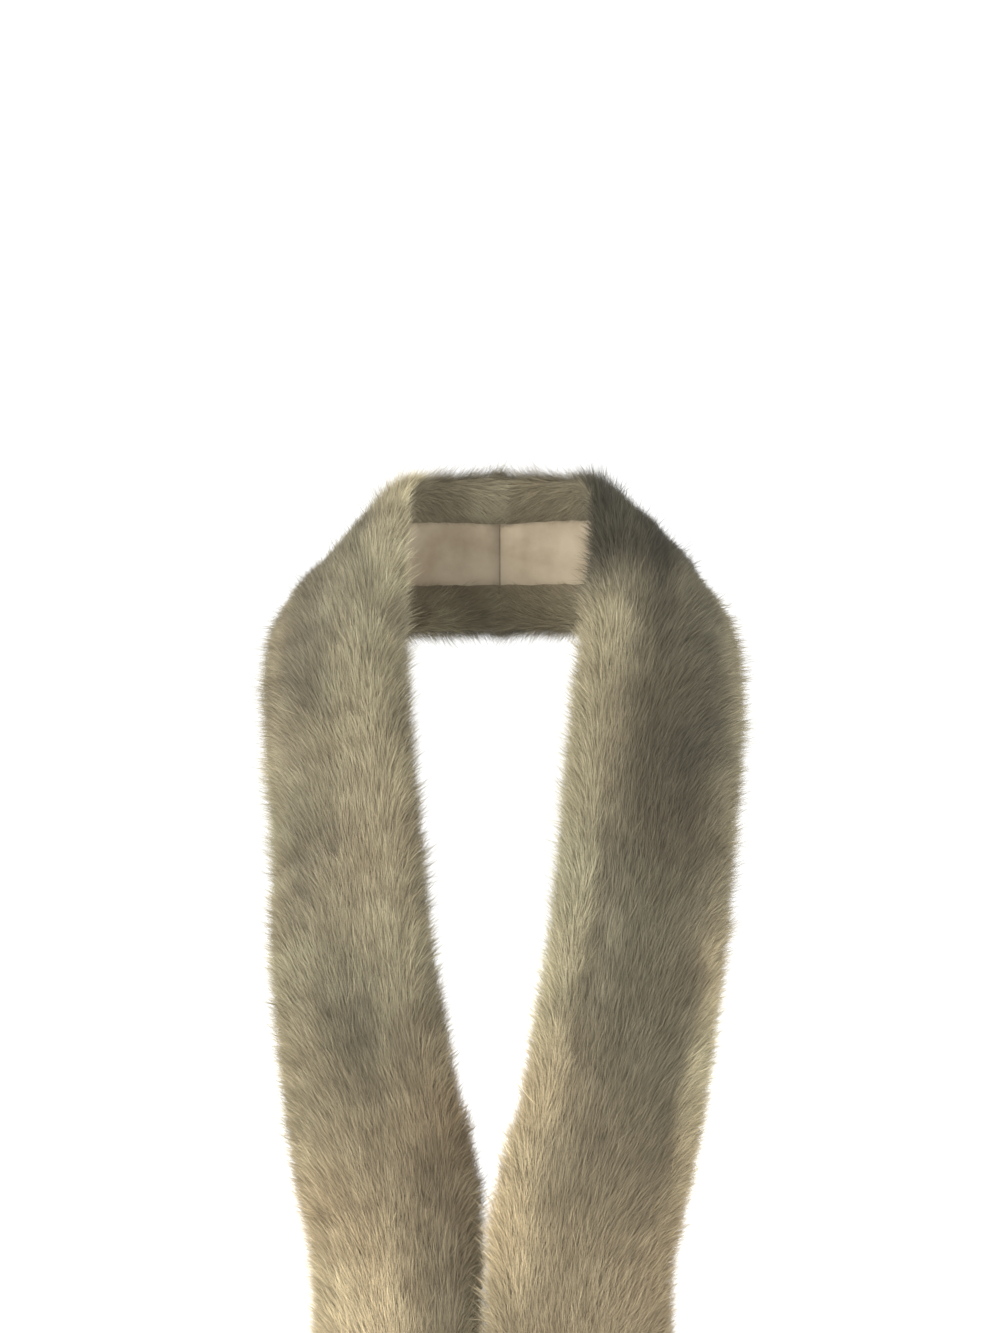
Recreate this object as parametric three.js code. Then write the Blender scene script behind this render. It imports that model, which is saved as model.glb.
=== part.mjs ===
// Fur collar wrap: two long fur pelts sewn together at the nape, worn round the neck and down the front.
// Millimetres, +Z up. The wrap's front faces -Y and the wearer's left is +X.
// The origin is on the wrap's inner face, at the nape seam, halfway between its two edges.
import * as THREE from "three";

// Driving sizes
const SEAM_GAP = 0.3;
const PILE_HEIGHT = 14;
const HEM_HEIGHT = 6;
const HEM_WIDTH = 22;
const HEM_SLOPE = 10;
const EDGE_SQUARENESS = 0.62;
const END_CORNER_RADIUS = 24;
const END_ROLL_RADIUS = 12;
const END_LIP = 0.3;

// Mesh density
const POINTS_AROUND = 36;
const STATION_STEP = 10;
const END_STEPS = 5;

// Where each pelt's two long edges run, a row for each level from the nape seam to the end.
// inner is the edge by the neck and outer the edge over the shoulder, each as [x, y, z].
const RIGHT_EDGES = [
  { level: "nape seam", inner: [0, -16.2, 43.7], outer: [0, 12.4, -44.9] },
  { level: "back of neck", inner: [-16, -17.8, 43.3], outer: [-20, 12, -45] },
  { level: "behind the ear", inner: [-33, -27.5, 41.5], outer: [-60, 4, -46] },
  { level: "side of neck", inner: [-44, -46, 36], outer: [-95, -20, -46] },
  { level: "shoulder", inner: [-44.5, -75, 1], outer: [-113, -50, -49] },
  { level: "collar bone", inner: [-43.2, -95, -35], outer: [-117.5, -72, -69] },
  { level: "throat", inner: [-39.3, -115, -89], outer: [-115.6, -94, -109] },
  { level: "upper chest", inner: [-33.3, -133, -143], outer: [-111.6, -116, -155] },
  { level: "bust top", inner: [-27.2, -150, -197], outer: [-110, -137, -201] },
  { level: "bust", inner: [-18, -162, -243], outer: [-103.6, -152, -251] },
  { level: "below bust", inner: [-9.6, -169, -286], outer: [-98.2, -160, -293] },
  { level: "meeting", inner: [-7.6, -174, -336], outer: [-89.5, -166, -339] },
  { level: "end", inner: [-8, -177, -436], outer: [-92, -171, -439] },
];
const LEFT_EDGES = [
  { level: "nape seam", inner: [0, -16.2, 43.7], outer: [0, 12.4, -44.9] },
  { level: "back of neck", inner: [16, -17.8, 43.5], outer: [20, 12, -45] },
  { level: "behind the ear", inner: [33, -27.5, 42], outer: [60, 4, -45] },
  { level: "side of neck", inner: [43.5, -46, 37], outer: [97, -20, -42] },
  { level: "shoulder", inner: [43, -73, 4], outer: [116, -48, -43] },
  { level: "collar bone", inner: [37.8, -93, -33], outer: [120.6, -70, -66] },
  { level: "throat", inner: [30.3, -115, -89], outer: [118.2, -91, -105] },
  { level: "upper chest", inner: [24.6, -135, -145], outer: [113.2, -116, -153] },
  { level: "bust top", inner: [17.2, -154, -201], outer: [106.8, -138, -207] },
  { level: "bust", inner: [7.2, -168, -255], outer: [97.8, -155, -261] },
  { level: "below bust", inner: [-2.6, -178, -299], outer: [91.2, -162, -297] },
  { level: "meeting", inner: [-6.4, -182, -336], outer: [81.8, -167, -339] },
  { level: "end", inner: [-6.4, -185, -433], outer: [85, -173, -437] },
];

// How far each pelt's middle bows out from the straight line between its edges, by distance from the nape.
const BOW = [
  { along: 0, right: 2, left: 2 },
  { along: 40, right: 6, left: 8 },
  { along: 85, right: 11, left: 17 },
  { along: 125, right: 12, left: 13 },
  { along: 180, right: 9, left: 10 },
  { along: 260, right: 6, left: 6 },
  { along: 400, right: 6, left: 6 },
  { along: 600, right: 4, left: 4 },
];

// The largest folds: soft troughs in the fur, from and to by distance from the nape.
// across runs from -1 at the inner edge to 1 at the outer edge.
const RIGHT_FOLDS = [
  { from: 120, to: 250, across: -0.35, depth: 1.6, width: 0.16 },
  { from: 230, to: 300, across: 0.5, depth: 2.0, width: 0.16 },
  { from: 300, to: 420, across: -0.05, depth: 2.6, width: 0.2 },
];
const LEFT_FOLDS = [
  { from: 60, to: 190, across: -0.2, depth: 2.0, width: 0.2 },
  { from: 210, to: 430, across: -0.56, depth: 3.6, width: 0.12 },
  { from: 330, to: 470, across: 0.62, depth: 1.6, width: 0.14 },
];

const PELTS = [
  { name: "right_pelt", side: -1, edges: RIGHT_EDGES, bow: "right", folds: RIGHT_FOLDS },
  { name: "left_pelt", side: 1, edges: LEFT_EDGES, bow: "left", folds: LEFT_FOLDS },
];

const FUR = { color: 0xa39779, roughness: 0.85, metalness: 0 };

function edgeCurve(edges, edge) {
  const points = edges.map((row) => new THREE.Vector3(...row[edge]));
  return new THREE.CatmullRomCurve3(points, false, "centripetal");
}

function bowAt(along, column) {
  const next = Math.max(1, BOW.findIndex((row) => row.along > along));
  const before = BOW[next - 1];
  const after = BOW[next];
  const share = THREE.MathUtils.smoothstep(along, before.along, after.along);
  return THREE.MathUtils.lerp(before[column], after[column], share);
}

// A trough is deepest halfway along its length and fades to nothing at its ends and sides.
function foldDepth(folds, along, across) {
  let depth = 0;
  for (const fold of folds) {
    const run = (along - fold.from) / (fold.to - fold.from);
    const aside = (across - fold.across) / fold.width;
    if (run > 0 && run < 1) {
      depth += fold.depth * Math.sin(Math.PI * run) * Math.exp(-aside * aside);
    }
  }
  return depth;
}

// 1 on a hem of the given width, measured from the edge that it is turned in from, and 0 past its slope.
function hemShare(fromEdge) {
  return 1 - THREE.MathUtils.smoothstep(fromEdge, HEM_WIDTH, HEM_WIDTH + HEM_SLOPE);
}

// The closed outline of the wall across a pelt, as distances across it and out from its inner face.
// The first half of the points is the rounded back of fur, from the inner edge to the outer edge, and the
// second half is the inner face, raised into a hem along each edge and at the pelt's end.
function wallOutline(section, folds) {
  const outline = [];
  for (let i = 0; i < POINTS_AROUND; i += 1) {
    const angle = (2 * Math.PI * i) / POINTS_AROUND;
    const share = -Math.sign(Math.cos(angle)) * Math.abs(Math.cos(angle)) ** EDGE_SQUARENESS;
    const rise = Math.abs(Math.sin(angle)) ** EDGE_SQUARENESS;
    const across = (share * section.width) / 2;
    const fromEdge = Math.min(section.width / 2 - Math.abs(across), section.fromEnd);
    const fur = PILE_HEIGHT * section.roll * rise - foldDepth(folds, section.along, share) * section.roll;
    const hem = -HEM_HEIGHT * section.roll * rise * hemShare(fromEdge);
    const out = i <= POINTS_AROUND / 2 ? fur : hem;
    outline.push({ across, out: out + section.bow * (1 - share * share) });
  }
  return outline;
}

// Distances from the nape at which sections are taken, closer together where the end is rounded off.
function stations(length) {
  const straight = length - END_CORNER_RADIUS;
  const steps = Math.round(straight / STATION_STEP);
  const places = [];
  for (let i = 0; i < steps; i += 1) {
    places.push((straight * i) / steps);
  }
  for (let i = 0; i <= END_STEPS; i += 1) {
    places.push(straight + END_CORNER_RADIUS * Math.sin((Math.PI / 2) * (i / END_STEPS)));
  }
  return places;
}

// How much of a rounding of the given radius is left at a distance from the end, from 0 to 1.
function roundedShare(fromEnd, radius) {
  const reach = Math.max(0, 1 - fromEnd / radius);
  return Math.sqrt(1 - reach * reach);
}

function peltGeometry(pelt) {
  const inner = edgeCurve(pelt.edges, "inner");
  const outer = edgeCurve(pelt.edges, "outer");
  const length = (inner.getLength() + outer.getLength()) / 2;
  const places = stations(length);
  const seam = new THREE.Vector3((pelt.side * SEAM_GAP) / 2, 0, 0);
  const innerPoints = places.map((along) => inner.getPointAt(along / length).add(seam));
  const outerPoints = places.map((along) => outer.getPointAt(along / length).add(seam));
  const middles = innerPoints.map((point, i) => point.clone().lerp(outerPoints[i], 0.5));

  const positions = [];
  places.forEach((along, i) => {
    const before = middles[Math.max(0, i - 1)];
    const after = middles[Math.min(middles.length - 1, i + 1)];
    const run = i === 0 ? new THREE.Vector3(pelt.side, 0, 0) : after.clone().sub(before);
    const across = outerPoints[i].clone().sub(innerPoints[i]);
    const chord = across.length();
    across.normalize();
    const out = new THREE.Vector3().crossVectors(across, run).multiplyScalar(-pelt.side).normalize();

    const fromEnd = length - along;
    const section = {
      along,
      fromEnd,
      width: chord - 2 * END_CORNER_RADIUS * (1 - roundedShare(fromEnd, END_CORNER_RADIUS)),
      roll: END_LIP + (1 - END_LIP) * roundedShare(fromEnd, END_ROLL_RADIUS),
      bow: bowAt(along, pelt.bow),
    };
    for (const point of wallOutline(section, pelt.folds)) {
      const place = middles[i].clone();
      place.addScaledVector(across, point.across).addScaledVector(out, point.out);
      positions.push(...place.toArray());
    }
  });
  return closedLoft(positions, places.length, pelt.side > 0);
}

// Joins the rings of points into one closed body. Each end is closed by a ladder of triangles, whose rungs
// join a point of the back to the point of the inner face behind it.
function closedLoft(positions, rings, flip) {
  const triangles = [];
  const push = (a, b, c) => triangles.push(...(flip ? [a, c, b] : [a, b, c]));
  const quad = (a, b, c, d) => {
    push(a, b, c);
    push(a, c, d);
  };
  for (let ring = 0; ring + 1 < rings; ring += 1) {
    const start = ring * POINTS_AROUND;
    for (let i = 0; i < POINTS_AROUND; i += 1) {
      const next = (i + 1) % POINTS_AROUND;
      quad(start + i, start + next, start + next + POINTS_AROUND, start + i + POINTS_AROUND);
    }
  }
  const half = POINTS_AROUND / 2;
  const last = (rings - 1) * POINTS_AROUND;
  push(0, POINTS_AROUND - 1, 1);
  push(last, last + 1, last + POINTS_AROUND - 1);
  for (let i = 1; i < half - 1; i += 1) {
    const behind = POINTS_AROUND - i;
    quad(i, behind, behind - 1, i + 1);
    quad(last + i, last + i + 1, last + behind - 1, last + behind);
  }
  push(half - 1, half + 1, half);
  push(last + half - 1, last + half, last + half + 1);

  const geometry = new THREE.BufferGeometry();
  geometry.setAttribute("position", new THREE.Float32BufferAttribute(positions, 3));
  geometry.setIndex(triangles);
  geometry.computeVertexNormals();
  return geometry;
}

const wrap = new THREE.Group();
wrap.name = "fur_collar_wrap";
for (const pelt of PELTS) {
  const mesh = new THREE.Mesh(peltGeometry(pelt), new THREE.MeshStandardMaterial(FUR));
  mesh.name = pelt.name;
  wrap.add(mesh);
}

export default wrap;
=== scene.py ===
"""Fur collar wrap: two dressed pelts sewn together at the nape, each a hollow strip with fur outside.

Metres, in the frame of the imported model: +Z up, the wrap's front faces -Y and the wearer's left is +X.
"""

import math
from collections import namedtuple

import bpy
import numpy as np
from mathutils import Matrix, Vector


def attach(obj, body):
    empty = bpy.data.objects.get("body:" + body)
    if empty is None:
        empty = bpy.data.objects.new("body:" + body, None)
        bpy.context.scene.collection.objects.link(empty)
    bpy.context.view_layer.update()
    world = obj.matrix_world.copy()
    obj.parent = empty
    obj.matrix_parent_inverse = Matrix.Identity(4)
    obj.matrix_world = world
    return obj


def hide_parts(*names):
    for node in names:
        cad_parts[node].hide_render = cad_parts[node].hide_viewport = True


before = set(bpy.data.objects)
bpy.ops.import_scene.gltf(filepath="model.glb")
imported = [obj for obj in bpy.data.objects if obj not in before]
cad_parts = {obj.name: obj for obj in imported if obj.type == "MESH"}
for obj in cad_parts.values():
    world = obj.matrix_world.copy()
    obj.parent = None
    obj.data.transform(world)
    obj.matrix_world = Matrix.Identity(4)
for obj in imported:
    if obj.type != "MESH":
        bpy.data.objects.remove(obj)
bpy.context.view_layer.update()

MM = 0.001
SEED = 20

# Sizes of the solids, in millimetres
SEAM_GAP = 0.3
HEM_WIDTH = 22
HEM_SLOPE = 10
EDGE_SQUARENESS = 0.62
END_CORNER_RADIUS = 24
END_ROLL_RADIUS = 12
END_LIP = 0.3

# Where each pelt's two long edges run, from the nape seam to the end: inner edge, outer edge.
RIGHT_EDGES = [
    ((0, -16.2, 43.7), (0, 12.4, -44.9)),
    ((-16, -17.8, 43.3), (-20, 12, -45)),
    ((-33, -27.5, 41.5), (-60, 4, -46)),
    ((-44, -46, 36), (-95, -20, -46)),
    ((-44.5, -75, 1), (-113, -50, -49)),
    ((-43.2, -95, -35), (-117.5, -72, -69)),
    ((-39.3, -115, -89), (-115.6, -94, -109)),
    ((-33.3, -133, -143), (-111.6, -116, -155)),
    ((-27.2, -150, -197), (-110, -137, -201)),
    ((-18, -162, -243), (-103.6, -152, -251)),
    ((-9.6, -169, -286), (-98.2, -160, -293)),
    ((-7.6, -174, -336), (-89.5, -166, -339)),
    ((-8, -177, -436), (-92, -171, -439)),
]
LEFT_EDGES = [
    ((0, -16.2, 43.7), (0, 12.4, -44.9)),
    ((16, -17.8, 43.5), (20, 12, -45)),
    ((33, -27.5, 42), (60, 4, -45)),
    ((43.5, -46, 37), (97, -20, -42)),
    ((43, -73, 4), (116, -48, -43)),
    ((37.8, -93, -33), (120.6, -70, -66)),
    ((30.3, -115, -89), (118.2, -91, -105)),
    ((24.6, -135, -145), (113.2, -116, -153)),
    ((17.2, -154, -201), (106.8, -138, -207)),
    ((7.2, -168, -255), (97.8, -155, -261)),
    ((-2.6, -178, -299), (91.2, -162, -297)),
    ((-6.4, -182, -336), (81.8, -167, -339)),
    ((-6.4, -185, -433), (85, -173, -437)),
]

# How far the middle of a pelt bows out: distance from the nape, right pelt, left pelt.
BOW = [
    (0, 2, 2),
    (40, 6, 8),
    (85, 11, 17),
    (125, 12, 13),
    (180, 9, 10),
    (260, 6, 6),
    (400, 6, 6),
    (600, 4, 4),
]

# Soft troughs in the fur: from and to by distance from the nape, place across (-1 inner edge, 1 outer
# edge), depth and width.
RIGHT_FOLDS = [
    (120, 250, -0.35, 1.6, 0.16),
    (230, 300, 0.5, 2.0, 0.16),
    (300, 420, -0.05, 2.6, 0.2),
]
LEFT_FOLDS = [
    (60, 190, -0.2, 2.0, 0.2),
    (210, 430, -0.56, 3.6, 0.12),
    (330, 470, 0.62, 1.6, 0.14),
]

# How far the pelt under the guard hairs stays inside the solid's edges: distance from the nape, inner
# edge, outer edge.
RIGHT_INSETS = [
    (0, 6.5, 6.5),
    (90, 6.5, 6.5),
    (140, 6.5, 9.5),
    (240, 6.5, 9.0),
    (300, 6.5, 7.0),
    (380, 6.5, 6.5),
    (450, 2.5, 6.5),
]
LEFT_INSETS = [
    (0, 6.5, 6.5),
    (90, 6.5, 7.0),
    (130, 6.5, 10.5),
    (160, 6.5, 9.5),
    (220, 6.5, 7.0),
    (380, 6.0, 6.5),
    (450, 2.5, 6.5),
]

# Smaller creases and dents: from and to, each as distance from the nape and place across,
# then depth and half width.
HALF_WIDTH = 42
RIGHT_CREASES = [
    ((12, -0.5), (52, 0.3), 1.3, 7),
    ((78, 0.7), (104, 0.1), 1.5, 7),
    ((128, 0.2), (150, 0.8), 1.0, 6),
    ((180, 1.0), (190, 0.5), 1.5, 7),
    ((208, 0.5), (226, 0.1), 1.3, 8),
    ((279, 1.05), (263, 0.25), 2.4, 5),
    ((304, 1.0), (292, 0.55), 1.1, 5),
    ((345, 0.9), (330, 0.4), 1.0, 7),
    ((414, -0.9), (440, -0.35), 1.2, 7),
    ((446, 0.15), (470, 0.7), 1.3, 7),
    ((520, -0.6), (548, 0.1), 1.2, 8),
]
LEFT_CREASES = [
    ((10, 0.6), (48, -0.2), 1.3, 7),
    ((70, -0.6), (100, 0.1), 1.4, 7),
    ((112, 0.75), (140, 0.3), 1.3, 7),
    ((196, 0.7), (226, 0.2), 1.4, 8),
    ((270, 0.85), (292, 0.35), 1.3, 7),
    ((312, -0.85), (338, -0.45), 1.2, 6),
    ((350, 0.1), (380, -0.25), 1.2, 8),
    ((402, 0.85), (424, 0.4), 1.4, 7),
    ((452, -0.8), (474, -0.25), 1.2, 7),
    ((530, 0.6), (556, 0.0), 1.2, 8),
]

# The pelt under the guard hairs
CORE_PILE = 11.5
CORE_HEM = 3.6
CORE_INSET = 6.5
CORE_END_INSET = 3.0
CORE_FACE = 1.1
CORE_AROUND = 60
CORE_STEP = 4.0

# The hairs: count on a pelt, length, width at the root, degrees from the skin, scatter of the way they lie,
# and how much they differ in lightness
HairKind = namedtuple("HairKind", "count length width lift scatter contrast")
GUARD = HairKind(count=72000, length=10.5, width=0.21, lift=17, scatter=7, contrast=0.2)
FINE = HairKind(count=225000, length=8.0, width=0.21, lift=15, scatter=10, contrast=0.15)
STRETCHES = {"neck": (0, 170), "chest": (170, 380), "end": (380, 700)}
REVERSE_LENGTH = 8.0
REVERSE_LIFT = 14
EDGE_LIFT = 12
SHOULDER_LIFT = 8
LOOSE_SHARE = 0.1
LOOSE_SCATTER = 16
LOOSE_TONE = 1.5
LOOSE_LENGTH = 1.12
LOOSE_WIDTH = 0.7
LOOSE_LIFT_SCATTER = 6
LIFT_SCATTER = 3
STRAY_SHARE = 0.02
FRINGE_SHARE = 0.26
FRINGE_SCATTER = 15
FRINGE_LIFT = (6, 34)
FRINGE_LENGTH = 1.25
FRINGE_WIDTH = 1.1
EDGE_START = 0.62
END_TURN = (17, 4)
LENGTH_RANGE = (4, 19)
LENGTH_SCATTER = 0.14
WIDTH_SCATTER = 0.2
ROOT_DEPTH = 0.6
CLUMP_SPACING = 3.6
CLUMP_CELLS = 512
CLUMP_PULL = 0.03
CLUMP_TONE = 0.06

# A bent hair: how much of its length is below the bend, how far it is raised below and lowered above it in
# radians, its half width at the root and at the bend as a share of its width, and its twist in degrees
BEND_AT = 0.46
BEND_RISE = 0.13
BEND_FALL = 0.2
ROOT_HALF = 0.5
BEND_HALF = 0.36
TWIST = 10

# Where the shoulders are by distance from the nape, with the softness of their borders
SHOULDERS = (45, 220, 40)

# How densely the coat stands on the reverse against the face, and how much denser along the edges
REVERSE_DENSITY = 0.95
EDGE_DENSITY = 0.35
EDGE_BAND = 14

# The skin side: thickness, corner radius, rows along it and columns across it
SKIN_THICK = 0.9
SKIN_CORNER = 12
SKIN_ROWS = 110
SKIN_COLUMNS = 15


# How many degrees the hairs lean outwards from the way up the pelt, in smooth steps across it: from, to and
# degrees. On the shoulders the second table is added.
RIGHT_LEANS = [(-0.2, 0.6, 22), (0.6, 0.98, 18), (-0.6, -1.0, -32)]
LEFT_LEANS = [(-0.2, 0.6, 22), (0.6, 0.98, 18), (-0.75, -1.0, -30)]
RIGHT_SHOULDER_LEANS = [(-1.2, -1.1, 8), (0.1, 0.7, 16)]
LEFT_SHOULDER_LEANS = [(-0.6, 0.1, 24), (0.2, 0.7, 8)]
REVERSE_LEANS = [(-1, 0, 30), (0.75, 1.0, -30)]

# How the hairs swirl, stand up and grow longer in soft waves: size in millimetres, strength and seed
SWIRLS = [(60, 3, 1), (14, 1.5, 2)]
LIFT_WAVES = (25, 1.2, 3)
LENGTH_WAVES = (20, 0.06, 4)

# Mottling of the fur's lightness, given as those waves are
MOTTLING = [(55, 0.07, 31), (16, 0.09, 32), (6, 0.04, 36)]
# Wavering of the tones' borders, and mottling of the warmth
WAVERING = [(70, 0.04, 34), (20, 0.03, 35)]
WARMTH_MOTTLING = (80, 0.3, 33)
RIGHT_MOTTLING = 0.9
LEFT_MOTTLING = 0.5
FOLD_SHADE = 0.06
SHADE_WARMTH = 1.6
REVERSE_TONE = 0.85

# Colours: a hair from root to tip in sRGB, and the factors that tint it cooler and warmer
HAIR_ROOT = (128, 119, 99)
HAIR_MIDDLE = (148, 140, 112)
HAIR_TIP = (180, 173, 145)
COOLER = (0.93, 1.0, 1.04, 1)
WARMER = (1.09, 0.95, 0.89, 1)
FINE_TIP = 0.8
LIGHT_RANGE = 4

# Where the fur is lighter or darker, cooler or warmer: from start to end by distance from the nape, and
# from the inner to the outer side by place across (-1 inner edge, 1 outer edge, 2 beyond it). fade and
# blend are how softly it starts and stops, gain how much lighter it is and warmth how much warmer.
# The warmth is the fur's own colour. Many of the gains are painted light and shade, marked row by row
# below.
Tone = namedtuple("Tone", "start end fade inner outer blend gain warmth")
RIGHT_TONES_AND_PAINTED_LIGHT = [
    # Painted shade over the whole top by the neck, which turns from the light
    Tone(45, 140, 35, -2, 2, 0.1, -0.28, 0),
    Tone(45, 138, 20, -2, -0.86, 0.14, 0.8, 0),
    Tone(30, 78, 14, -2, -0.5, 0.3, 0.35, 0),
    Tone(95, 205, 25, -0.2, 0.55, 0.2, -0.33, 0),
    Tone(175, 340, 25, -0.85, -0.15, 0.2, 0.22, 0),
    Tone(150, 215, 20, -2, -0.45, 0.2, 0.12, 0),
    # Painted shade along the inner edge, where it rolls into shadow
    Tone(190, 400, 40, -2, -0.9, 0.1, -0.2, 0),
    Tone(215, 420, 30, 0.78, 2, 0.12, 0.28, 0),
    Tone(335, 380, 22, -0.4, 0.45, 0.2, -0.28, -0.12),
    Tone(405, 445, 20, 0.45, 2, 0.2, 0.25, 0),
    Tone(440, 520, 22, -0.1, 2, 0.25, 0.65, 0),
    # Painted shadow over the lower inner side, where the left pelt overlaps it
    Tone(412, 520, 20, -2, -0.35, 0.25, -0.4, 0),
    Tone(435, 900, 35, -2, 2, 0.1, 0.4, 0),
    Tone(-200, 215, 115, -2, 2, 0.1, 0, -0.35),
    Tone(340, 460, 40, 0.1, 0.75, 0.3, 0, 0.5),
    Tone(365, 900, 75, -2, 2, 0.1, 0, 1.05),
]
LEFT_TONES_AND_PAINTED_LIGHT = [
    # Painted shade over the top by the neck, which turns from the light
    Tone(50, 138, 18, -2, -0.1, 0.3, -0.75, 0),
    Tone(50, 122, 24, -0.1, 0.62, 0.25, -0.74, 0),
    Tone(130, 175, 20, -0.75, -0.25, 0.12, -0.25, 0),
    # Painted shade over the middle and the outer side, which turn from the light
    Tone(40, 410, 60, -0.5, 0.62, 0.24, -0.27, 0),
    Tone(130, 270, 60, -0.5, 0.62, 0.24, -0.4, 0),
    Tone(200, 460, 40, -0.35, 0.75, 0.15, -0.16, 0),
    Tone(215, 290, 25, 0, 0.85, 0.15, -0.15, 0),
    # Painted light on the rolled inner edge, which faces the light
    Tone(130, 520, 30, -2, -0.715, 0.135, 0.16, 0),
    Tone(150, 265, 25, -2, -0.8, 0.12, 0.22, 0),
    Tone(290, 470, 45, -2, -0.68, 0.16, 0.62, 0),
    Tone(315, 450, 35, 0.72, 2, 0.16, 0.65, 0),
    Tone(305, 365, 20, 0.5, 0.85, 0.15, 0.35, 0),
    Tone(435, 900, 35, -2, 2, 0.1, 0.28, 0.2),
    Tone(-200, 215, 115, -2, 2, 0.1, 0, -0.35),
    Tone(130, 370, 60, -0.3, 0.4, 0.2, 0, -0.3),
    Tone(100, 330, 50, -2, -0.715, 0.135, 0, -0.35),
    Tone(385, 900, 55, -2, 2, 0.1, 0, 1.05),
]


def smoothstep(x, low, high):
    t = np.clip((x - low) / (high - low), 0, 1)
    return t * t * (3 - 2 * t)


def catmull(points, count=1600):
    """Points along a centripetal Catmull-Rom curve and their distances along it."""
    p = np.array(points, float)
    p = np.vstack([2 * p[0] - p[1], p, 2 * p[-1] - p[-2]])
    t = np.linspace(0, len(points) - 1, count)
    i = np.minimum(t.astype(int), len(points) - 2)
    w = (t - i)[:, None]
    p0, p1, p2, p3 = p[i], p[i + 1], p[i + 2], p[i + 3]
    pairs = ((p0, p1), (p1, p2), (p2, p3))
    d0, d1, d2 = (np.sqrt(np.linalg.norm(b - a, axis=1))[:, None] for a, b in pairs)
    t1 = ((p1 - p0) / d0 - (p2 - p0) / (d0 + d1) + (p2 - p1) / d1) * d1
    t2 = ((p2 - p1) / d1 - (p3 - p1) / (d1 + d2) + (p3 - p2) / d2) * d1
    place = p1 + t1 * w + (-3 * p1 + 3 * p2 - 2 * t1 - t2) * w**2 + (2 * p1 - 2 * p2 + t1 + t2) * w**3
    steps = np.linalg.norm(np.diff(place, axis=0), axis=1)
    return place, np.concatenate([[0], np.cumsum(steps)])


def unit(v):
    return v / np.maximum(np.linalg.norm(v, axis=-1, keepdims=True), 1e-12)


def lookup(x, xs, ys):
    """Each column of ys, interpolated at x."""
    return np.stack([np.interp(x, xs, ys[:, k]) for k in range(ys.shape[1])], -1)


class Pelt:
    """One pelt's strip: where any point of it lies, by distance from the nape and place across."""

    def __init__(self, name, side, edges, folds, creases, insets, leans, shoulder_leans, mottling, tones):
        self.name, self.side, self.folds, self.creases = name, side, folds, creases
        self.leans, self.shoulder_leans, self.mottling, self.tones = leans, shoulder_leans, mottling, tones
        self.insets = np.array(insets)
        inner, inner_at = catmull([e[0] for e in edges])
        outer, outer_at = catmull([e[1] for e in edges])
        self.length = (inner_at[-1] + outer_at[-1]) / 2
        self.at = np.linspace(0, self.length, 400)
        share = self.at / self.length
        self.inner = lookup(share * inner_at[-1], inner_at, inner) + [side * SEAM_GAP / 2, 0, 0]
        self.outer = lookup(share * outer_at[-1], outer_at, outer) + [side * SEAM_GAP / 2, 0, 0]
        self.middle = (self.inner + self.outer) / 2
        run = np.gradient(self.middle, axis=0)
        run[0] = [side, 0, 0]
        across = self.outer - self.inner
        self.chord = np.linalg.norm(across, axis=1)
        self.across = unit(across)
        self.out = unit(np.cross(self.across, run)) * -side
        self.bows = np.array(BOW, float)[:, [0, 1 if side < 0 else 2]]

    def bow(self, along):
        """Rows of the bow table joined by smooth steps."""
        rows = self.bows
        i = np.clip(np.searchsorted(rows[:, 0], along, side="right") - 1, 0, len(rows) - 2)
        share = np.clip((along - rows[i, 0]) / (rows[i + 1, 0] - rows[i, 0]), 0, 1)
        share = share * share * (3 - 2 * share)
        return rows[i, 1] + (rows[i + 1, 1] - rows[i, 1]) * share

    def fold(self, along, share):
        """How deep the troughs and creases are there."""
        depth = np.zeros(np.broadcast(along, share).shape)
        for start, end, place, deep, wide in self.folds:
            run = np.clip((along - start) / (end - start), 0, 1)
            depth = depth + deep * np.sin(np.pi * run) * np.exp(-(((share - place) / wide) ** 2))
        for (start, place), (end, other), deep, wide in self.creases:
            run, rise = end - start, (other - place) * HALF_WIDTH
            u, v = along - start, (share - place) * HALF_WIDTH
            t = np.clip((u * run + v * rise) / (run**2 + rise**2), 0, 1)
            far = (u - t * run) ** 2 + (v - t * rise) ** 2
            depth = depth + deep * (1 - 0.5 * t) * np.exp(-far / wide**2)
        return depth

    def width(self, along):
        from_end = np.clip(self.length - along, 0, None)
        reach = np.clip(1 - from_end / END_CORNER_RADIUS, 0, 1)
        rounding = 2 * END_CORNER_RADIUS * (1 - np.sqrt(1 - reach**2))
        return np.interp(along, self.at, self.chord) - rounding

    def roll(self, along):
        from_end = np.clip(self.length - along, 0, None)
        reach = np.clip(1 - from_end / END_ROLL_RADIUS, 0, 1)
        return END_LIP + (1 - END_LIP) * np.sqrt(1 - reach**2)

    def place(self, along, across, out):
        """The point at that distance along, across from the middle line and out from the chord."""
        middle = lookup(along, self.at, self.middle)
        a = unit(lookup(along, self.at, self.across))
        o = unit(lookup(along, self.at, self.out))
        return middle + a * across[..., None] + o * out[..., None]


def core_width(pelt, along):
    """The width under the guard hairs, and how far its middle line is from the pelt's."""
    inner, outer = (np.interp(along, pelt.insets[:, 0], pelt.insets[:, k]) for k in (1, 2))
    return pelt.width(along) - inner - outer, (inner - outer) / 2


def hem_share(from_edge):
    return 1 - smoothstep(from_edge, HEM_WIDTH, HEM_WIDTH + HEM_SLOPE)


def share_across(angle):
    """The place across, from -1 to 1, of an angle round the pelt's outline."""
    cos = np.cos(angle)
    return -np.sign(cos) * np.abs(cos) ** EDGE_SQUARENESS


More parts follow.
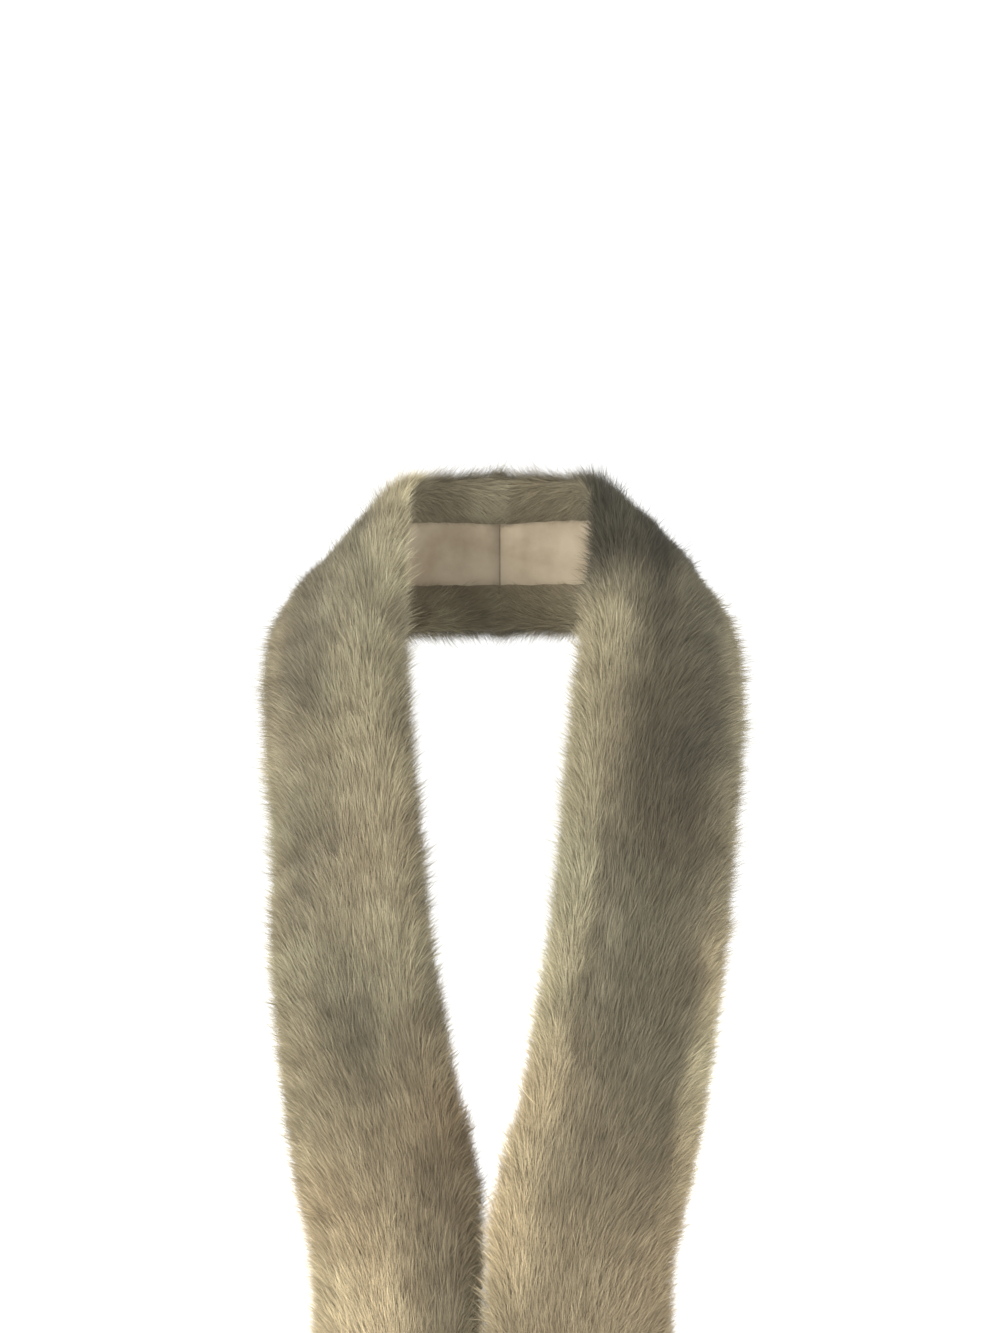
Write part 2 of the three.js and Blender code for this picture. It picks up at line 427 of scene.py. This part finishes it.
def around(pelt, along, angle):
    """The outline of the pelt under its guard hairs, with the share across and the distances."""
    share = share_across(angle)
    rise = np.abs(np.sin(angle)) ** EDGE_SQUARENESS
    width, shift = core_width(pelt, along)
    across = share * width / 2
    from_edge = np.minimum(width / 2 + CORE_INSET - np.abs(across), pelt.length - along)
    roll = pelt.roll(along)
    fur = CORE_FACE + (CORE_PILE - CORE_FACE) * roll * rise - pelt.fold(along, share) * roll
    hem = CORE_FACE - (CORE_HEM + CORE_FACE) * roll * rise * hem_share(from_edge)
    out = np.where(angle <= np.pi, fur, hem)
    return across + shift, out + pelt.bow(along) * (1 - share**2), share


def mesh_object(name, vertices, faces):
    """A smooth mesh of faces that all have the same number of corners."""
    mesh = bpy.data.meshes.new(name)
    faces = np.asarray(faces, np.int32)
    sides = faces.shape[1]
    mesh.vertices.add(len(vertices))
    mesh.vertices.foreach_set("co", np.asarray(vertices, np.float32).ravel())
    mesh.loops.add(faces.size)
    mesh.loops.foreach_set("vertex_index", faces.ravel())
    mesh.polygons.add(len(faces))
    mesh.polygons.foreach_set("loop_start", np.arange(0, faces.size, sides, dtype=np.int32))
    mesh.polygons.foreach_set("loop_total", np.full(len(faces), sides, np.int32))
    mesh.update(calc_edges=True)
    mesh.validate()
    return smooth_object(name, mesh)


def smooth_object(name, mesh):
    mesh.polygons.foreach_set("use_smooth", np.full(len(mesh.polygons), True))
    obj = bpy.data.objects.new(name, mesh)
    bpy.context.scene.collection.objects.link(obj)
    return obj


def ripple(points, size, seed, count=18):
    """Smooth noise of about -1 to 1: the sum of waves in all directions, of about the given length."""
    rng = np.random.default_rng(seed)
    total = np.zeros(len(points))
    for _ in range(count):
        direction = unit(rng.normal(size=3))
        wave = 2 * np.pi / (size * rng.uniform(0.7, 1.5))
        total += np.sin(points @ direction * wave + rng.uniform(0, 2 * np.pi))
    return total / math.sqrt(count / 2)


def waves(points, row):
    """A row of a table of waves, worked out at the points."""
    size, strength, seed = row
    return strength * ripple(points, size, SEED + seed)


PELTS = [
    Pelt(
        "right", -1, RIGHT_EDGES, RIGHT_FOLDS, RIGHT_CREASES, RIGHT_INSETS,
        RIGHT_LEANS, RIGHT_SHOULDER_LEANS, RIGHT_MOTTLING, RIGHT_TONES_AND_PAINTED_LIGHT,
    ),
    Pelt(
        "left", 1, LEFT_EDGES, LEFT_FOLDS, LEFT_CREASES, LEFT_INSETS,
        LEFT_LEANS, LEFT_SHOULDER_LEANS, LEFT_MOTTLING, LEFT_TONES_AND_PAINTED_LIGHT,
    ),
]


def core_grid(pelt):
    """Rings of the pelt under its guard hairs: positions and the fields that the hairs are laid by."""
    end = pelt.length - CORE_END_INSET
    straight = end - END_CORNER_RADIUS
    places = np.concatenate([
        np.linspace(0, straight, int(round(straight / CORE_STEP)), endpoint=False),
        straight + END_CORNER_RADIUS * np.sin(np.linspace(0, np.pi / 2, 10)),
    ])
    angles = np.linspace(0, 2 * np.pi, CORE_AROUND, endpoint=False)
    along, angle = np.meshgrid(places, angles, indexing="ij")
    across, out, share = around(pelt, along + CORE_END_INSET * smoothstep(along, straight, end), angle)
    points = pelt.place(along, across, out)
    return along, angle, share, points


def build_core(pelt):
    """The pelt under its guard hairs as one closed body: rings of quads and a ladder across each end."""
    _, _, _, points = core_grid(pelt)
    rings, n = points.shape[:2]
    index = np.arange(rings * n).reshape(rings, n)
    after = np.roll(index, -1, axis=1)
    faces = np.stack([index[:-1], after[:-1], after[1:], index[1:]], -1).reshape(-1, 4).tolist()
    half = n // 2
    for row, turn in ((index[0].tolist(), 1), (index[-1].tolist(), -1)):
        ladder = [[row[i], row[n - i], row[n - i - 1], row[i + 1]] for i in range(1, half - 1)]
        ladder += [[row[0], row[n - 1], row[1]], [row[half - 1], row[half + 1], row[half]]]
        faces += [rung[::turn] for rung in ladder]
    if pelt.side > 0:
        faces = [face[::-1] for face in faces]
    mesh = bpy.data.meshes.new(f"{pelt.name}_pelt_underfur")
    mesh.from_pydata((points.reshape(-1, 3) * MM).tolist(), [], faces)
    mesh.validate()
    return smooth_object(f"{pelt.name}_pelt_underfur", mesh)


def closed(field):
    """The field with its first column again at the end."""
    return np.concatenate([field, field[:, :1]], axis=1)


def sample_roots(pelt, count, seed):
    """Random places on the pelt, with position, outward normal, the way to the nape and across."""
    rng = np.random.default_rng(seed)
    along, angle, share, points = core_grid(pelt)
    d_along = np.gradient(points, axis=0)
    d_around = (np.roll(points, -1, 1) - np.roll(points, 1, 1)) / 2
    points = closed(points)
    along = closed(along)
    angle = np.concatenate([angle, np.full((len(angle), 1), 2 * np.pi)], axis=1)
    up = closed(unit(-d_along))
    side = closed(unit(d_around))
    normal = unit(np.cross(side, up)) * pelt.side
    flip = np.sign(np.sum(normal[:, CORE_AROUND // 4] * lookup(along[:, 0], pelt.at, pelt.out), -1))
    normal = normal * flip[:, None, None]
    first, second = points[1:, :-1] - points[:-1, :-1], points[:-1, 1:] - points[:-1, :-1]
    area = np.linalg.norm(np.cross(first, second), axis=-1)
    mid = (angle[:-1, :-1] + angle[:-1, 1:]) / 2
    back = mid > np.pi
    mid_share = np.abs(share_across(mid))
    width, _ = core_width(pelt, along[:-1, :-1])
    from_edge = np.minimum((1 - mid_share) * width / 2, pelt.length - along[:-1, :-1])
    weight = area * np.where(back, REVERSE_DENSITY * hem_share(from_edge + CORE_INSET + 2), 1.0)
    weight = weight * np.where(~back, 1 + EDGE_DENSITY * (1 - smoothstep(from_edge, 0, EDGE_BAND)), 1.0)
    p = weight.ravel() / weight.sum()
    cell = rng.choice(len(p), size=count, p=p)
    i, j = np.unravel_index(cell, area.shape)
    u, v = rng.random(count), rng.random(count)

    def at(field):
        shape = (count,) + (1,) * (field.ndim - 2)
        down, over = u.reshape(shape), v.reshape(shape)
        low = field[i, j] * (1 - over) + field[i, j + 1] * over
        high = field[i + 1, j] * (1 - over) + field[i + 1, j + 1] * over
        return low * (1 - down) + high * down

    return {
        "along": at(along),
        "angle": at(angle),
        "root": at(points),
        "normal": unit(at(normal)),
        "up": unit(at(up)),
        "side": unit(at(side)),
    }


def clump_pull(u, v, spacing, seed):
    """Each point's offset to the nearest of a set of scattered centres, in the plane of u and v."""
    rng = np.random.default_rng(seed)
    jitter = rng.random((CLUMP_CELLS, CLUMP_CELLS, 2))
    tone = rng.random((CLUMP_CELLS, CLUMP_CELLS))
    iu, iv = np.floor(u / spacing).astype(int), np.floor(v / spacing).astype(int)
    best = np.full(len(u), 1e9)
    du, dv, shade = np.zeros(len(u)), np.zeros(len(u)), np.zeros(len(u))
    for a in (-1, 0, 1):
        for b in (-1, 0, 1):
            ku, kv = (iu + a) % CLUMP_CELLS, (iv + b) % CLUMP_CELLS
            cu = (iu + a + jitter[ku, kv, 0]) * spacing - u
            cv = (iv + b + jitter[ku, kv, 1]) * spacing - v
            near = cu**2 + cv**2 < best
            best = np.where(near, cu**2 + cv**2, best)
            du, dv = np.where(near, cu, du), np.where(near, cv, dv)
            shade = np.where(near, tone[ku, kv], shade)
    return du, dv, shade


def zone(x, start, end, fade):
    """1 between start and end and 0 outside them, with soft borders."""
    return smoothstep(x, start - fade, start + fade) * (1 - smoothstep(x, end - fade, end + fade))


def tone_and_painted_light_of(pelt, along, share, root, front):
    """How light each place of the fur is, around 1, and how warm, around 0: its own mottling and tones,
    painted shade in the troughs and creases, and the painted light and shade of the tone tables.
    """
    light = np.ones(len(along))
    for row in MOTTLING:
        light = light + pelt.mottling * waves(root, row)
    # Painted shade, deeper where the troughs and creases are deeper
    light = light - FOLD_SHADE * pelt.fold(along, share)
    warm = waves(root, WARMTH_MOTTLING) + SHADE_WARMTH * (1 - light)
    wavy = share + sum(waves(root, row) for row in WAVERING)
    for tone in pelt.tones:
        part = zone(along, tone.start, tone.end, tone.fade) * zone(wavy, tone.inner, tone.outer, tone.blend)
        light = light * (1 + tone.gain * part * front)
        warm = warm + tone.warmth * part * front
    return light * np.where(front, 1, REVERSE_TONE), warm


def leaning(share, rows):
    """The sum of smooth steps across the pelt, each given as from, to and degrees."""
    return sum(degrees * smoothstep(share, start, end) for start, end, degrees in rows)


def tilted(flat, normal, angle):
    """The direction that rises from the flat one towards the normal by that angle."""
    return unit(flat * np.cos(angle)[:, None] + normal * np.sin(angle)[:, None])


def hair_lay(roots, pelt, seed, kind):
    """Each hair's root, middle, tip, width direction and shade, from the fields at its root."""
    rng = np.random.default_rng(seed)
    along, angle, root = roots["along"], roots["angle"], roots["root"]
    normal, up, side = roots["normal"], roots["up"], roots["side"]
    count = len(along)
    share = share_across(angle)
    back = angle > np.pi
    edge = smoothstep(np.abs(share), EDGE_START, 1.0)
    outward = np.where(back[:, None], -side, side)

    # Near the pelt's end the hairs turn over and fringe it
    turn = smoothstep(along, pelt.length - END_TURN[0], pelt.length - END_TURN[1])[:, None]
    up = unit(up * (1 - 1.7 * turn) + 0.5 * normal * turn * (1 - turn))

    # The way a hair lies: up the pelt, leaning towards the nearer edge, in soft swirls
    shoulder = zone(along, *SHOULDERS)
    lean = leaning(share, pelt.leans) + shoulder * leaning(share, pelt.shoulder_leans)
    lean = np.where(back, -np.sign(share) * leaning(np.abs(share), REVERSE_LEANS), lean)
    for row in SWIRLS:
        lean = lean + waves(root, row)
    loose = rng.random(count) < LOOSE_SHARE
    stray = (rng.random(count) < STRAY_SHARE + FRINGE_SHARE * edge) & ~back
    scatter = np.where(stray, FRINGE_SCATTER, np.where(loose, LOOSE_SCATTER, kind.scatter))
    lean = np.radians(lean + scatter * rng.normal(size=count))
    lay = unit(up * np.cos(lean)[:, None] + outward * np.sin(lean)[:, None])

    # How far it stands up from the skin
    lift = kind.lift + EDGE_LIFT * edge + SHOULDER_LIFT * shoulder + waves(root, LIFT_WAVES)
    lift = lift + np.where(loose, LOOSE_LIFT_SCATTER, LIFT_SCATTER) * rng.normal(size=count)
    lift = np.where(back, REVERSE_LIFT + 10 * edge + 4 * rng.normal(size=count), lift)
    lift = np.radians(lift + np.where(stray, rng.uniform(*FRINGE_LIFT, count), 0))

    length = kind.length * (1 + LENGTH_SCATTER * rng.normal(size=count)) * (1 + waves(root, LENGTH_WAVES))
    length = length * np.where(stray, FRINGE_LENGTH, np.where(loose, LOOSE_LENGTH, 1))
    length = np.where(back, REVERSE_LENGTH + (length - REVERSE_LENGTH) * edge, length)
    length = np.clip(length * (1 - 0.25 * turn[:, 0]), *LENGTH_RANGE)

    # Hairs bend down a little towards the tip and draw together into tufts
    du, dv, clump = clump_pull(along, angle / np.pi * 100, CLUMP_SPACING, SEED + 5)
    pull = (up * -du[:, None] + side * dv[:, None]) * CLUMP_PULL
    pull = pull - normal * np.sum(pull * normal, -1, keepdims=True)
    lower, upper = BEND_AT * length, (1 - BEND_AT) * length
    middle = root + tilted(lay, normal, lift + BEND_RISE) * lower[:, None] + 0.35 * pull
    tip = middle + tilted(lay, normal, lift - BEND_FALL) * upper[:, None] + 0.65 * pull

    twist = np.radians(TWIST) * rng.normal(size=count)
    wide = tilted(unit(np.cross(normal, lay)), normal, twist)
    width = kind.width * np.where(stray, FRINGE_WIDTH, np.where(loose, LOOSE_WIDTH, 1))
    width = width * (1 + WIDTH_SCATTER * rng.normal(size=count)).clip(0.5, 1.6)

    light, warm = tone_and_painted_light_of(pelt, along, share, root, ~back)
    light = light * (1 + CLUMP_TONE * (clump - 0.5))
    light = light * (1 + kind.contrast * rng.normal(size=count)).clip(0.4, 2)
    light = light * np.where(loose & (rng.random(count) < 0.5), LOOSE_TONE, 1)
    return root - ROOT_DEPTH * normal, middle, tip, wide * width[:, None], light, warm


def build_fur(pelt, part, guard, fine):
    """One stretch of a pelt's fur in one mesh: bent guard hairs and straight fine hairs, all tapered."""
    seed = SEED + 7 * len(part) + (pelt.side > 0)
    base, middle, tip, wide, light, warm = hair_lay(guard, pelt, seed, GUARD)
    at_root, at_bend = wide * ROOT_HALF, wide * BEND_HALF
    long_points = np.stack([base - at_root, base + at_root, middle - at_bend, middle + at_bend, tip], 1)
    n_long = len(base)
    base, _, fine_tip, wide, fine_light, fine_warm = hair_lay(fine, pelt, seed + 100, FINE)
    at_root = wide * ROOT_HALF
    short_points = np.stack([base - at_root, base + at_root, fine_tip], 1)
    n_short = len(base)

    vertices = np.concatenate([long_points.reshape(-1, 3), short_points.reshape(-1, 3)]) * MM
    long_faces = (np.arange(n_long) * 5)[:, None] + np.array([[0, 1, 3, 0, 3, 2, 2, 3, 4]])
    short_faces = n_long * 5 + (np.arange(n_short) * 3)[:, None] + np.array([[0, 1, 2]])
    faces = np.concatenate([long_faces.reshape(-1, 3), short_faces])
    obj = mesh_object(f"{pelt.name}_pelt_fur_{part}", vertices, faces)

    color = np.ones((len(vertices), 4), np.float32)
    color[:, 0] = np.concatenate([np.tile([0, 0, 0.5, 0.5, 1], n_long), np.tile([0, 0, FINE_TIP], n_short)])
    lights = np.concatenate([np.repeat(light, 5), np.repeat(fine_light, 3)])
    warms = np.concatenate([np.repeat(warm, 5), np.repeat(fine_warm, 3)])
    color[:, 1] = (lights / LIGHT_RANGE).clip(0.02, 1)
    color[:, 2] = (0.5 + 0.25 * warms).clip(0, 1)
    layer = obj.data.attributes.new("strand", "FLOAT_COLOR", "POINT")
    layer.data.foreach_set("color", color.ravel())

    # Each hair has a small cell of its own in the texture map
    cells = math.ceil(math.sqrt(n_long + n_short))
    cell = np.arange(n_long + n_short)
    corner = np.stack([cell % cells, cell // cells], -1)[:, None]
    bent = np.array([[0.15, 0.1], [0.85, 0.1], [0.15, 0.5], [0.85, 0.5], [0.5, 0.9]])
    long_uv = corner[:n_long] + bent
    short_uv = corner[n_long:] + np.array([[0.15, 0.1], [0.85, 0.1], [0.5, 0.9]])
    uv = np.concatenate([long_uv.reshape(-1, 2), short_uv.reshape(-1, 2)]) / cells
    uv_layer = obj.data.uv_layers.new(name="OFBake")
    uv_layer.data.foreach_set("uv", uv[faces.ravel()].astype(np.float32).ravel())
    return obj


def nodes_of(name):
    material = bpy.data.materials.new(name)
    material.use_nodes = True
    return material, material.node_tree.nodes, material.node_tree.links


def linear(r, g, b):
    """sRGB 0 to 255 as a linear colour."""
    return tuple(((c / 255 + 0.055) / 1.055) ** 2.4 for c in (r, g, b)) + (1,)


def fur_material():
    material, nodes, links = nodes_of("guard_hair")
    shader = nodes["Principled BSDF"]
    strand = nodes.new("ShaderNodeAttribute")
    strand.attribute_name = "strand"
    split = nodes.new("ShaderNodeSeparateColor")
    links.new(strand.outputs["Color"], split.inputs["Color"])
    ramp = nodes.new("ShaderNodeValToRGB")
    ramp.color_ramp.elements[0].color = linear(*HAIR_ROOT)
    ramp.color_ramp.elements[1].color = linear(*HAIR_TIP)
    middle = ramp.color_ramp.elements.new(0.5)
    middle.color = linear(*HAIR_MIDDLE)
    links.new(split.outputs["Red"], ramp.inputs["Fac"])
    warm = nodes.new("ShaderNodeMix")
    warm.data_type = "RGBA"
    warm.inputs[6].default_value = COOLER
    warm.inputs[7].default_value = WARMER
    links.new(split.outputs["Blue"], warm.inputs[0])
    tint = nodes.new("ShaderNodeMix")
    tint.data_type = "RGBA"
    tint.blend_type = "MULTIPLY"
    tint.inputs[0].default_value = 1.0
    links.new(ramp.outputs["Color"], tint.inputs[6])
    links.new(warm.outputs[2], tint.inputs[7])
    gain = nodes.new("ShaderNodeMath")
    gain.operation = "MULTIPLY"
    gain.inputs[1].default_value = LIGHT_RANGE
    links.new(split.outputs["Green"], gain.inputs[0])
    scale = nodes.new("ShaderNodeVectorMath")
    scale.operation = "SCALE"
    links.new(tint.outputs[2], scale.inputs[0])
    links.new(gain.outputs[0], scale.inputs["Scale"])
    links.new(scale.outputs["Vector"], shader.inputs["Base Color"])
    rough = nodes.new("ShaderNodeMapRange")
    rough.inputs["To Min"].default_value = 0.62
    rough.inputs["To Max"].default_value = 0.42
    links.new(split.outputs["Red"], rough.inputs["Value"])
    links.new(rough.outputs["Result"], shader.inputs["Roughness"])
    shader.inputs["Specular IOR Level"].default_value = 0.35
    shader.inputs["Sheen Weight"].default_value = 0.25
    shader.inputs["Sheen Roughness"].default_value = 0.4
    return material


def noise_material(name, dark, light, scale, rough, bump, distance):
    """A mottled matte material in object space, with fine bumps."""
    material, nodes, links = nodes_of(name)
    shader = nodes["Principled BSDF"]
    place = nodes.new("ShaderNodeTexCoord")
    mottle = nodes.new("ShaderNodeTexNoise")
    mottle.inputs["Scale"].default_value = scale
    mottle.inputs["Detail"].default_value = 6
    links.new(place.outputs["Object"], mottle.inputs["Vector"])
    ramp = nodes.new("ShaderNodeValToRGB")
    ramp.color_ramp.elements[0].position = 0.35
    ramp.color_ramp.elements[0].color = dark
    ramp.color_ramp.elements[1].position = 0.68
    ramp.color_ramp.elements[1].color = light
    links.new(mottle.outputs["Fac"], ramp.inputs["Fac"])
    links.new(ramp.outputs["Color"], shader.inputs["Base Color"])
    fine = nodes.new("ShaderNodeTexNoise")
    fine.inputs["Scale"].default_value = 900
    fine.inputs["Detail"].default_value = 3
    links.new(place.outputs["Object"], fine.inputs["Vector"])
    bumps = nodes.new("ShaderNodeBump")
    bumps.inputs["Strength"].default_value = bump
    bumps.inputs["Distance"].default_value = distance
    links.new(fine.outputs["Fac"], bumps.inputs["Height"])
    links.new(bumps.outputs["Normal"], shader.inputs["Normal"])
    shader.inputs["Roughness"].default_value = rough
    shader.inputs["Specular IOR Level"].default_value = 0.2
    return material


def build_skin(pelt):
    """The suede-like skin side between the turned-under edges: a thin closed sheet on the inner face."""
    margin = HEM_WIDTH + HEM_SLOPE / 2
    places = (pelt.length - margin) * np.sin(np.linspace(0, 1, SKIN_ROWS) * np.pi / 2) ** 0.9
    along, t = np.meshgrid(places, np.linspace(-1, 1, SKIN_COLUMNS), indexing="ij")
    width, shift = core_width(pelt, along)
    corner = np.clip(1 - (pelt.length - margin - along) / SKIN_CORNER, 0, 1)
    rounding = SKIN_CORNER * (1 - np.sqrt(1 - corner**2))
    share = t * (1 - 2 * (margin - CORE_INSET + rounding) / width)
    across = share * width / 2 + shift
    outer = CORE_FACE + 0.3 + pelt.bow(along) * (1 - share**2)
    sag = 0.3 * (1 - t**4) + 0.25 * np.sin(along / 23 + 1.3 * t) * (1 - t**2)
    near, far = pelt.place(along, across, outer), pelt.place(along, across, outer - SKIN_THICK - sag)
    n = along.size
    index = np.arange(n).reshape(along.shape)
    quads = np.stack([index[:-1, :-1], index[:-1, 1:], index[1:, 1:], index[1:, :-1]], -1).reshape(-1, 4)
    rim = np.concatenate([index[0], index[1:, -1], index[-1, -2::-1], index[-2:0:-1, 0]])
    after = np.roll(rim, -1)
    faces = np.concatenate([quads, quads[:, ::-1] + n, np.stack([after, rim, rim + n, after + n], -1)])
    if pelt.side < 0:
        faces = faces[:, ::-1]
    vertices = np.concatenate([near.reshape(-1, 3), far.reshape(-1, 3)]) * MM
    return mesh_object(f"{pelt.name}_pelt_skin", vertices, faces)


hair = fur_material()
underfur = noise_material("underfur", linear(108, 98, 80), linear(136, 125, 104), 60, 0.95, 0.6, 0.0012)
suede = noise_material("skin_side", linear(168, 152, 128), linear(196, 182, 158), 45, 0.88, 0.25, 0.0004)

for pelt in PELTS:
    core = build_core(pelt)
    core.data.materials.append(underfur)
    skin = build_skin(pelt)
    skin.data.materials.append(suede)
    guard = sample_roots(pelt, GUARD.count, SEED + (pelt.side > 0))
    fine = sample_roots(pelt, FINE.count, SEED + 10 + (pelt.side > 0))
    furs = []
    for part, (start, end) in STRETCHES.items():
        inside = [(roots["along"] >= start) & (roots["along"] < end) for roots in (guard, fine)]
        stretch = [
            {key: field[keep] for key, field in roots.items()}
            for roots, keep in zip((guard, fine), inside)
        ]
        fur = build_fur(pelt, part, *stretch)
        fur.data.materials.append(hair)
        furs.append(fur)
    for piece in [core, skin] + furs:
        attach(piece, "root")
    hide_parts(f"{pelt.name}_pelt")


def build_stage():
    """A pale floor that curves up into a wall all round."""
    bend = np.linspace(0, np.pi / 2, 24)
    radius = np.concatenate([[0.001, 0.5, 1.0], 1.4 + 2.0 * np.sin(bend), [3.4]])
    height = np.concatenate([[0, 0, 0], 2.0 * (1 - np.cos(bend)), [3.6]]) - 1.0
    turns = 96
    angle = np.linspace(0, 2 * np.pi, turns, endpoint=False)
    flat = np.stack([np.cos(angle), np.sin(angle), 0 * angle], -1)
    points = radius[:, None, None] * flat + height[:, None, None] * np.array([0, 0, 1])
    index = np.arange(len(radius) * turns).reshape(-1, turns)
    after = np.roll(index, -1, axis=1)
    faces = np.stack([index[:-1], after[:-1], after[1:], index[1:]], -1).reshape(-1, 4)
    floor = mesh_object("studio_floor", points.reshape(-1, 3), faces)
    material, nodes, _ = nodes_of("studio_paper")
    nodes["Principled BSDF"].inputs["Base Color"].default_value = (0.93, 0.93, 0.93, 1)
    nodes["Principled BSDF"].inputs["Roughness"].default_value = 0.9
    nodes["Principled BSDF"].inputs["Specular IOR Level"].default_value = 0.1
    floor.data.materials.append(material)


def area_light(name, place, target, size, power, color=(1, 1, 1)):
    data = bpy.data.lights.new(name, "AREA")
    data.shape = "DISK"
    data.size = size
    data.energy = power
    data.color = color
    light = bpy.data.objects.new(name, data)
    light.location = place
    light.rotation_euler = (Vector(target) - Vector(place)).to_track_quat("-Z", "Y").to_euler()
    light.visible_camera = False
    bpy.context.scene.collection.objects.link(light)


build_stage()
centre = (0, -0.1, -0.2)
area_light("key", (-1.6, -2.1, 0.85), centre, 1.1, 50, (1.0, 0.985, 0.96))
area_light("fill", (1.9, -1.6, 0.4), centre, 1.6, 14, (0.97, 0.985, 1.0))
area_light("rim", (0.5, 2.3, 0.7), centre, 1.6, 30)
area_light("backdrop", (0, 1.6, 0.9), (0, 3.4, -0.3), 1.5, 9)

world = bpy.data.worlds.new("studio")
world.use_nodes = True
world.node_tree.nodes["Background"].inputs["Color"].default_value = (1, 1, 1, 1)
world.node_tree.nodes["Background"].inputs["Strength"].default_value = 0.72
bpy.context.scene.world = world

camera_data = bpy.data.cameras.new("camera")
camera_data.lens = 81
camera_data.sensor_width = 36
camera = bpy.data.objects.new("camera", camera_data)
camera.location = (0, -1.555, -0.058)
camera.rotation_euler = (math.radians(90), 0, 0)
bpy.context.scene.collection.objects.link(camera)
bpy.context.scene.camera = camera
bpy.context.scene.view_settings.view_transform = "Standard"
bpy.context.scene.cycles.max_bounces = 4
bpy.context.scene.cycles.diffuse_bounces = 2
